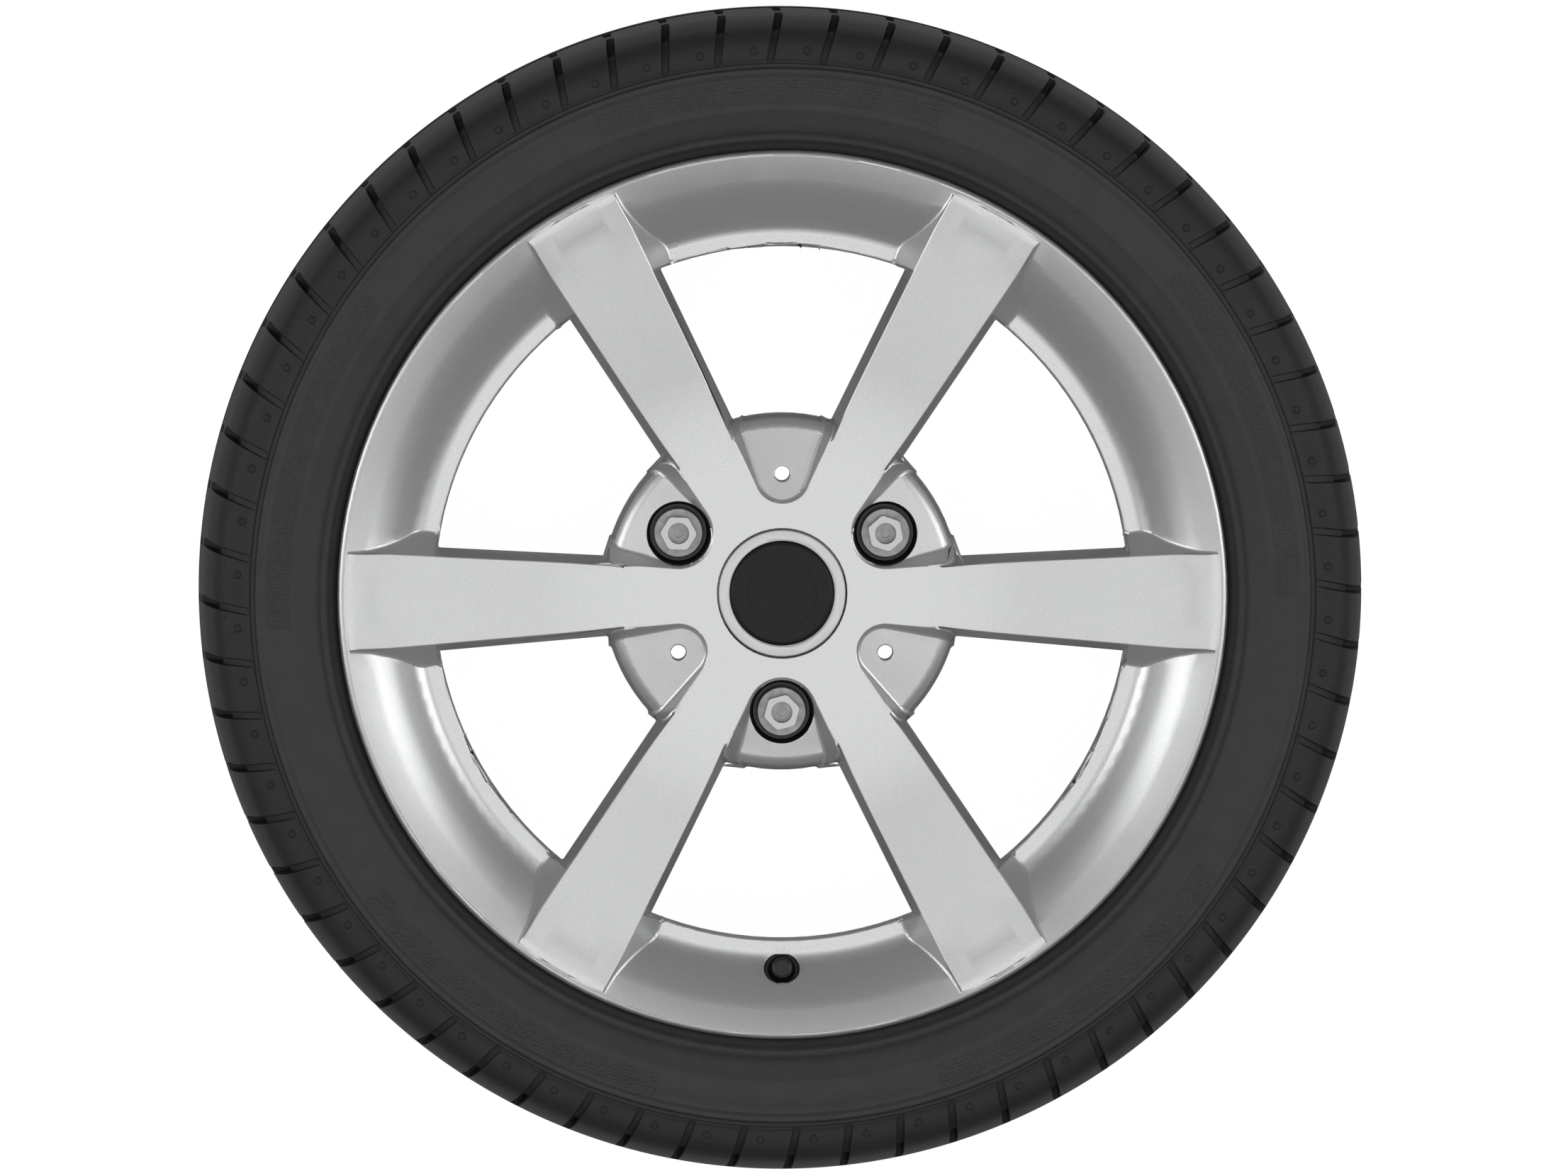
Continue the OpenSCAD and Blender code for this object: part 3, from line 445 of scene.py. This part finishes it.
links.new(rubber_parts.outputs["X"], rubber_turn.inputs[1])
# tone and painted shade by radius: painted shade darkens the rubber next to the rim's lip, the
# blocks are darker than the wall, and painted shade darkens the tread further towards its crown,
# which turns away from the light
rubber_tone_and_shade = nodes.new("ShaderNodeValToRGB")
rubber_span = nodes.new("ShaderNodeMapRange")
rubber_span.inputs["From Min"].default_value = 0.200
rubber_span.inputs["From Max"].default_value = 0.275
links.new(rubber_r.outputs[0], rubber_span.inputs["Value"])
links.new(rubber_span.outputs["Result"], rubber_tone_and_shade.inputs["Fac"])
tones = rubber_tone_and_shade.color_ramp
# painted shade next to the rim's lip, then the wall's own grey
tones.elements[0].position = 0.05
tones.elements[0].color = (0.006, 0.006, 0.0062, 1)
tones.elements[1].position = 0.13
tones.elements[1].color = (0.052, 0.052, 0.0535, 1)
# the blocks' darker tone, then painted shade on the tread's crown
for place, tone in [(0.59, 0.054), (0.65, 0.028), (0.78, 0.024), (1.0, 0.009)]:
    step = tones.elements.new(place)
    step.color = (tone, tone, tone * 1.03, 1)
rubber_dust = nodes.new("ShaderNodeTexNoise")
rubber_dust.inputs["Scale"].default_value = 90
rubber_dust.inputs["Detail"].default_value = 6
rubber_mix = nodes.new("ShaderNodeMix")
rubber_mix.data_type = "RGBA"
rubber_mix.blend_type = "MULTIPLY"
rubber_mix.inputs["Factor"].default_value = 0.35
links.new(rubber_place.outputs["Object"], rubber_dust.inputs["Vector"])
links.new(rubber_tone_and_shade.outputs["Color"], rubber_mix.inputs["A"])
links.new(rubber_dust.outputs["Fac"], rubber_mix.inputs["B"])
links.new(rubber_mix.outputs["Result"], rubber_skin.inputs["Base Color"])
# hatch: five long patches of small studs on the wall, between two of its fine lines
hatch_turns = nodes.new("ShaderNodeMath")
hatch_turns.operation = "MULTIPLY"
hatch_turns.inputs[1].default_value = 5 / (2 * math.pi)
hatch_part = nodes.new("ShaderNodeMath")
hatch_part.operation = "FRACT"
hatch_where = nodes.new("ShaderNodeMath")
hatch_where.operation = "LESS_THAN"
hatch_where.inputs[1].default_value = 0.55
hatch_low = nodes.new("ShaderNodeMath")
hatch_low.operation = "GREATER_THAN"
hatch_low.inputs[1].default_value = 0.2295
hatch_high = nodes.new("ShaderNodeMath")
hatch_high.operation = "LESS_THAN"
hatch_high.inputs[1].default_value = 0.2405
hatch_band = nodes.new("ShaderNodeMath")
hatch_band.operation = "MULTIPLY"
hatch_mask = nodes.new("ShaderNodeMath")
hatch_mask.operation = "MULTIPLY"
links.new(rubber_turn.outputs[0], hatch_turns.inputs[0])
links.new(hatch_turns.outputs[0], hatch_part.inputs[0])
links.new(hatch_part.outputs[0], hatch_where.inputs[0])
links.new(rubber_r.outputs[0], hatch_low.inputs[0])
links.new(rubber_r.outputs[0], hatch_high.inputs[0])
links.new(hatch_low.outputs[0], hatch_band.inputs[0])
links.new(hatch_high.outputs[0], hatch_band.inputs[1])
links.new(hatch_band.outputs[0], hatch_mask.inputs[0])
links.new(hatch_where.outputs[0], hatch_mask.inputs[1])
hatch_round = nodes.new("ShaderNodeMath")
hatch_round.operation = "MULTIPLY"
hatch_round.inputs[1].default_value = 0.235
hatch_grid = nodes.new("ShaderNodeCombineXYZ")
hatch_studs = nodes.new("ShaderNodeTexVoronoi")
hatch_studs.inputs["Scale"].default_value = 620
hatch_studs.inputs["Randomness"].default_value = 0.5
links.new(rubber_turn.outputs[0], hatch_round.inputs[0])
links.new(hatch_round.outputs[0], hatch_grid.inputs[0])
links.new(rubber_r.outputs[0], hatch_grid.inputs[1])
links.new(hatch_grid.outputs[0], hatch_studs.inputs["Vector"])
hatch_height = nodes.new("ShaderNodeMath")
hatch_height.operation = "MULTIPLY"
links.new(hatch_studs.outputs["Distance"], hatch_height.inputs[0])
links.new(hatch_mask.outputs[0], hatch_height.inputs[1])
rubber_grain = nodes.new("ShaderNodeTexNoise")
rubber_grain.inputs["Scale"].default_value = 700
rubber_grain.inputs["Detail"].default_value = 4
links.new(rubber_place.outputs["Object"], rubber_grain.inputs["Vector"])
rubber_height = nodes.new("ShaderNodeMath")
rubber_height.operation = "MULTIPLY_ADD"
rubber_height.inputs[1].default_value = 0.3
links.new(rubber_grain.outputs["Fac"], rubber_height.inputs[0])
links.new(hatch_height.outputs[0], rubber_height.inputs[2])
rubber_bump = nodes.new("ShaderNodeBump")
rubber_bump.inputs["Strength"].default_value = 0.7
rubber_bump.inputs["Distance"].default_value = 0.0009
links.new(rubber_height.outputs[0], rubber_bump.inputs["Height"])
links.new(rubber_bump.outputs["Normal"], rubber_skin.inputs["Normal"])
tyre.data.materials.clear()
tyre.data.materials.append(rubber)
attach(tyre, "wheel")
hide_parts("tyre")

# Wheel bolts. Forged steel, zinc plated: a hexagon head with a turned recess, a wide collar
# and a cone seat over a threaded shank. The first is a copy of its CAD solid with its edges
# broken, and the other two are copies of it.
bolt_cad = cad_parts["wheel_bolt_1"]
bolt = bolt_cad.copy()
bolt.data = bolt_cad.data.copy()
bolt.name = "plated_bolt_1"
bpy.context.collection.objects.link(bolt)
bpy.ops.object.select_all(action="DESELECT")
bolt.select_set(True)
bpy.context.view_layer.objects.active = bolt
bpy.ops.object.mode_set(mode="EDIT")
bpy.ops.mesh.select_all(action="SELECT")
bpy.ops.mesh.remove_doubles(threshold=0.00003)
bpy.ops.mesh.dissolve_limited(angle_limit=math.radians(0.5))
bpy.ops.object.mode_set(mode="OBJECT")
broken = bolt.modifiers.new("broken_edges", "BEVEL")
broken.limit_method = "ANGLE"
broken.angle_limit = math.radians(22)
broken.width = 0.00028
broken.segments = 2
bpy.ops.object.modifier_apply(modifier=broken.name)
bpy.ops.object.shade_smooth_by_angle(angle=math.radians(28))
bolt_even = bolt.modifiers.new("even_normals", "WEIGHTED_NORMAL")
bolt_even.keep_sharp = True
bpy.ops.object.modifier_apply(modifier=bolt_even.name)
bolt_top = max(v.co.z for v in bolt.data.vertices)
bolt_tone = bolt.data.attributes.new("head_tone", "FLOAT", "POINT")
for i, vertex in enumerate(bolt.data.vertices):
    on_head = vertex.co.z > bolt_top - 0.0009 and (vertex.co.xy - bolt_spots[0]).length > 0.0049
    bolt_tone.data[i].value = 1.0 if on_head else 0.0
zinc = bpy.data.materials.new("zinc_plate")
zinc.use_nodes = True
nodes, links = zinc.node_tree.nodes, zinc.node_tree.links
zinc_skin = nodes["Principled BSDF"]
zinc_skin.inputs["Metallic"].default_value = 0.85
zinc_skin.inputs["Roughness"].default_value = 0.42
zinc_place = nodes.new("ShaderNodeTexCoord")
zinc_cloud = nodes.new("ShaderNodeTexNoise")
zinc_cloud.inputs["Scale"].default_value = 260
zinc_cloud.inputs["Detail"].default_value = 5
zinc_tone = nodes.new("ShaderNodeValToRGB")
zinc_tone.color_ramp.elements[0].position = 0.3
zinc_tone.color_ramp.elements[0].color = (0.27, 0.272, 0.275, 1)
zinc_tone.color_ramp.elements[1].position = 0.72
zinc_tone.color_ramp.elements[1].color = (0.40, 0.403, 0.406, 1)
zinc_bump = nodes.new("ShaderNodeBump")
zinc_bump.inputs["Strength"].default_value = 0.18
zinc_bump.inputs["Distance"].default_value = 0.0001
links.new(zinc_place.outputs["Object"], zinc_cloud.inputs["Vector"])
zinc_head = nodes.new("ShaderNodeAttribute")
zinc_head.attribute_name = "head_tone"
zinc_worn = nodes.new("ShaderNodeMix")
zinc_worn.data_type = "RGBA"
zinc_worn.inputs["B"].default_value = (0.6, 0.6, 0.605, 1)
links.new(zinc_cloud.outputs["Fac"], zinc_tone.inputs["Fac"])
links.new(zinc_head.outputs["Fac"], zinc_worn.inputs["Factor"])
links.new(zinc_tone.outputs["Color"], zinc_worn.inputs["A"])
links.new(zinc_worn.outputs["Result"], zinc_skin.inputs["Base Color"])
links.new(zinc_cloud.outputs["Fac"], zinc_bump.inputs["Height"])
links.new(zinc_bump.outputs["Normal"], zinc_skin.inputs["Normal"])
bolt.data.materials.clear()
bolt.data.materials.append(zinc)
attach(bolt, "wheel")
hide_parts("wheel_bolt_1")
to_circle = Matrix.Translation((bolt_circle_r, 0, 0))
bolt_seat = Matrix.Rotation(math.radians(bolt_turns[0]), 4, "Z") @ to_circle
for number, place, twist in [(2, bolt_turns[1], 17), (3, bolt_turns[2], 34)]:
    bolt_copy = bolt.copy()
    bolt_copy.data = bolt.data.copy()
    bolt_copy.name = "plated_bolt_%d" % number
    bpy.context.collection.objects.link(bolt_copy)
    next_seat = Matrix.Rotation(math.radians(place), 4, "Z") @ to_circle
    twisted = Matrix.Rotation(math.radians(twist), 4, "Z")
    bolt_copy.data.transform(next_seat @ twisted @ bolt_seat.inverted())
    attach(bolt_copy, "wheel")
    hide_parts("wheel_bolt_%d" % number)

# Centre cap. Moulded plastic, painted silver on its ring, with a skirt and snap clips behind.
# A copy of the CAD solid with its edges rounded as the mould leaves them.
cap_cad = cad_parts["centre_cap"]
cap = cap_cad.copy()
cap.data = cap_cad.data.copy()
cap.name = "silver_cap"
bpy.context.collection.objects.link(cap)
bpy.ops.object.select_all(action="DESELECT")
cap.select_set(True)
bpy.context.view_layer.objects.active = cap
bpy.ops.object.mode_set(mode="EDIT")
bpy.ops.mesh.select_all(action="SELECT")
bpy.ops.mesh.remove_doubles(threshold=0.00003)
bpy.ops.mesh.dissolve_limited(angle_limit=math.radians(0.3))
bpy.ops.object.mode_set(mode="OBJECT")
mould_edge = cap.modifiers.new("mould_edges", "BEVEL")
mould_edge.limit_method = "ANGLE"
mould_edge.angle_limit = math.radians(28)
mould_edge.width = 0.0003
mould_edge.segments = 2
bpy.ops.object.modifier_apply(modifier=mould_edge.name)
bpy.ops.object.shade_smooth_by_angle(angle=math.radians(28))
cap_paint = bpy.data.materials.new("cap_silver_paint")
cap_paint.use_nodes = True
nodes, links = cap_paint.node_tree.nodes, cap_paint.node_tree.links
cap_skin = nodes["Principled BSDF"]
cap_skin.inputs["Metallic"].default_value = 0.55
cap_skin.inputs["Roughness"].default_value = 0.36
cap_skin.inputs["Coat Weight"].default_value = 0.3
cap_place = nodes.new("ShaderNodeTexCoord")
cap_flake = nodes.new("ShaderNodeTexNoise")
cap_flake.inputs["Scale"].default_value = 2300
cap_tone = nodes.new("ShaderNodeValToRGB")
cap_tone.color_ramp.elements[0].position = 0.3
cap_tone.color_ramp.elements[0].color = (0.62, 0.625, 0.63, 1)
cap_tone.color_ramp.elements[1].position = 0.7
cap_tone.color_ramp.elements[1].color = (0.72, 0.725, 0.73, 1)
links.new(cap_place.outputs["Object"], cap_flake.inputs["Vector"])
links.new(cap_flake.outputs["Fac"], cap_tone.inputs["Fac"])
links.new(cap_tone.outputs["Color"], cap_skin.inputs["Base Color"])
cap.data.materials.clear()
cap.data.materials.append(cap_paint)
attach(cap, "wheel")
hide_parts("centre_cap")

# Cap badge. A plain black disc, moulded in gloss plastic, dished a little and clipped into
# the cap. The CAD solid is kept and given its plastic.
badge_plastic = bpy.data.materials.new("badge_black")
badge_plastic.use_nodes = True
nodes, links = badge_plastic.node_tree.nodes, badge_plastic.node_tree.links
badge_skin = nodes["Principled BSDF"]
badge_skin.inputs["Roughness"].default_value = 0.42
badge_skin.inputs["Specular IOR Level"].default_value = 0.25
badge_place = nodes.new("ShaderNodeTexCoord")
badge_haze = nodes.new("ShaderNodeTexNoise")
badge_haze.inputs["Scale"].default_value = 120
badge_haze.inputs["Detail"].default_value = 4
badge_tone = nodes.new("ShaderNodeValToRGB")
badge_tone.color_ramp.elements[0].color = (0.008, 0.008, 0.0085, 1)
badge_tone.color_ramp.elements[1].color = (0.015, 0.015, 0.016, 1)
links.new(badge_place.outputs["Object"], badge_haze.inputs["Vector"])
links.new(badge_haze.outputs["Fac"], badge_tone.inputs["Fac"])
links.new(badge_tone.outputs["Color"], badge_skin.inputs["Base Color"])
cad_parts["cap_badge"].material_slots[0].material = badge_plastic

# Cap spring ring. Drawn spring steel wire, bent to a split ring and snapped in behind the cap's
# clips, which it pushes outwards. It stays the CAD solid.
wire_steel = bpy.data.materials.new("drawn_wire")
wire_steel.use_nodes = True
nodes, links = wire_steel.node_tree.nodes, wire_steel.node_tree.links
wire_skin = nodes["Principled BSDF"]
wire_skin.inputs["Metallic"].default_value = 1.0
wire_skin.inputs["Roughness"].default_value = 0.3
wire_place = nodes.new("ShaderNodeTexCoord")
wire_streak = nodes.new("ShaderNodeTexNoise")
wire_streak.inputs["Scale"].default_value = 900
wire_tone = nodes.new("ShaderNodeValToRGB")
wire_tone.color_ramp.elements[0].color = (0.36, 0.365, 0.37, 1)
wire_tone.color_ramp.elements[1].color = (0.62, 0.625, 0.63, 1)
links.new(wire_place.outputs["Object"], wire_streak.inputs["Vector"])
links.new(wire_streak.outputs["Fac"], wire_tone.inputs["Fac"])
links.new(wire_tone.outputs["Color"], wire_skin.inputs["Base Color"])
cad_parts["cap_spring_ring"].material_slots[0].material = wire_steel

# Core spring. The same wire in a finer gauge, coiled round the valve's pin, which it lifts.
# It stays the CAD solid, because it shortens with the pin.
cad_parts["core_spring"].material_slots[0].material = wire_steel

# Valve rubber. Black rubber moulded round the valve's stem and pulled into its hole in the
# rim, where its groove snaps over the edge. It stays the CAD solid.
valve_black = bpy.data.materials.new("valve_black_rubber")
valve_black.use_nodes = True
nodes, links = valve_black.node_tree.nodes, valve_black.node_tree.links
valve_skin = nodes["Principled BSDF"]
valve_skin.inputs["Roughness"].default_value = 0.45
valve_place = nodes.new("ShaderNodeTexCoord")
valve_bloom = nodes.new("ShaderNodeTexNoise")
valve_bloom.inputs["Scale"].default_value = 500
valve_bloom.inputs["Detail"].default_value = 4
valve_tone = nodes.new("ShaderNodeValToRGB")
valve_tone.color_ramp.elements[0].color = (0.004, 0.004, 0.004, 1)
valve_tone.color_ramp.elements[1].color = (0.012, 0.012, 0.012, 1)
valve_bump = nodes.new("ShaderNodeBump")
valve_bump.inputs["Strength"].default_value = 0.2
valve_bump.inputs["Distance"].default_value = 0.0001
links.new(valve_place.outputs["Object"], valve_bloom.inputs["Vector"])
links.new(valve_bloom.outputs["Fac"], valve_tone.inputs["Fac"])
links.new(valve_tone.outputs["Color"], valve_skin.inputs["Base Color"])
links.new(valve_bloom.outputs["Fac"], valve_bump.inputs["Height"])
links.new(valve_bump.outputs["Normal"], valve_skin.inputs["Normal"])
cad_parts["valve_rubber"].material_slots[0].material = valve_black

# Core cup. A small rubber cup moulded on the pin's foot, which closes the valve from inside.
# It stays the CAD solid.
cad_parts["core_cup"].material_slots[0].material = valve_black

# Cap seal. A rubber ring pressed into the dust cap's roof. It stays the CAD solid.
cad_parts["valve_cap_seal"].material_slots[0].material = valve_black

# Valve stem. A turned brass tube, moulded into the valve's rubber, with the dust cap's thread
# outside and the core's thread inside. It stays the CAD solid.
turned_brass = bpy.data.materials.new("turned_brass")
turned_brass.use_nodes = True
nodes, links = turned_brass.node_tree.nodes, turned_brass.node_tree.links
brass_skin = nodes["Principled BSDF"]
brass_skin.inputs["Metallic"].default_value = 1.0
brass_skin.inputs["Roughness"].default_value = 0.32
brass_place = nodes.new("ShaderNodeTexCoord")
brass_cloud = nodes.new("ShaderNodeTexNoise")
brass_cloud.inputs["Scale"].default_value = 700
brass_tone = nodes.new("ShaderNodeValToRGB")
brass_tone.color_ramp.elements[0].color = (0.50, 0.34, 0.13, 1)
brass_tone.color_ramp.elements[1].color = (0.78, 0.58, 0.27, 1)
links.new(brass_place.outputs["Object"], brass_cloud.inputs["Vector"])
links.new(brass_cloud.outputs["Fac"], brass_tone.inputs["Fac"])
links.new(brass_tone.outputs["Color"], brass_skin.inputs["Base Color"])
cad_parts["valve_stem"].material_slots[0].material = turned_brass

# Core body. A turned brass sleeve, screwed into the stem, that guides the pin. It stays the
# CAD solid.
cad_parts["core_body"].material_slots[0].material = turned_brass

# Core pin. A brass pin down the middle of the sleeve, pressed in to let air pass. It stays
# the CAD solid.
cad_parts["core_pin"].material_slots[0].material = turned_brass

# Core ring. The red sealing ring moulded round the core body, which seals it in the stem.
# It stays the CAD solid.
ring_red = bpy.data.materials.new("core_ring_red")
ring_red.use_nodes = True
nodes, links = ring_red.node_tree.nodes, ring_red.node_tree.links
ring_skin = nodes["Principled BSDF"]
ring_skin.inputs["Roughness"].default_value = 0.5
ring_place = nodes.new("ShaderNodeTexCoord")
ring_cloud = nodes.new("ShaderNodeTexNoise")
ring_cloud.inputs["Scale"].default_value = 800
ring_tone = nodes.new("ShaderNodeValToRGB")
ring_tone.color_ramp.elements[0].color = (0.34, 0.03, 0.02, 1)
ring_tone.color_ramp.elements[1].color = (0.50, 0.06, 0.04, 1)
links.new(ring_place.outputs["Object"], ring_cloud.inputs["Vector"])
links.new(ring_cloud.outputs["Fac"], ring_tone.inputs["Fac"])
links.new(ring_tone.outputs["Color"], ring_skin.inputs["Base Color"])
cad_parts["core_ring"].material_slots[0].material = ring_red

# Dust cap. Black moulded plastic, screwed on the stem, with grip flutes round its side.
# It stays the CAD solid.
cap_black = bpy.data.materials.new("dust_cap_black")
cap_black.use_nodes = True
nodes, links = cap_black.node_tree.nodes, cap_black.node_tree.links
dust_skin = nodes["Principled BSDF"]
dust_skin.inputs["Roughness"].default_value = 0.36
dust_place = nodes.new("ShaderNodeTexCoord")
dust_grain = nodes.new("ShaderNodeTexNoise")
dust_grain.inputs["Scale"].default_value = 900
dust_tone = nodes.new("ShaderNodeValToRGB")
dust_tone.color_ramp.elements[0].color = (0.006, 0.006, 0.006, 1)
dust_tone.color_ramp.elements[1].color = (0.018, 0.018, 0.018, 1)
dust_bump = nodes.new("ShaderNodeBump")
dust_bump.inputs["Strength"].default_value = 0.15
dust_bump.inputs["Distance"].default_value = 0.0001
links.new(dust_place.outputs["Object"], dust_grain.inputs["Vector"])
links.new(dust_grain.outputs["Fac"], dust_tone.inputs["Fac"])
links.new(dust_tone.outputs["Color"], dust_skin.inputs["Base Color"])
links.new(dust_grain.outputs["Fac"], dust_bump.inputs["Height"])
links.new(dust_bump.outputs["Normal"], dust_skin.inputs["Normal"])
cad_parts["valve_cap"].material_slots[0].material = cap_black
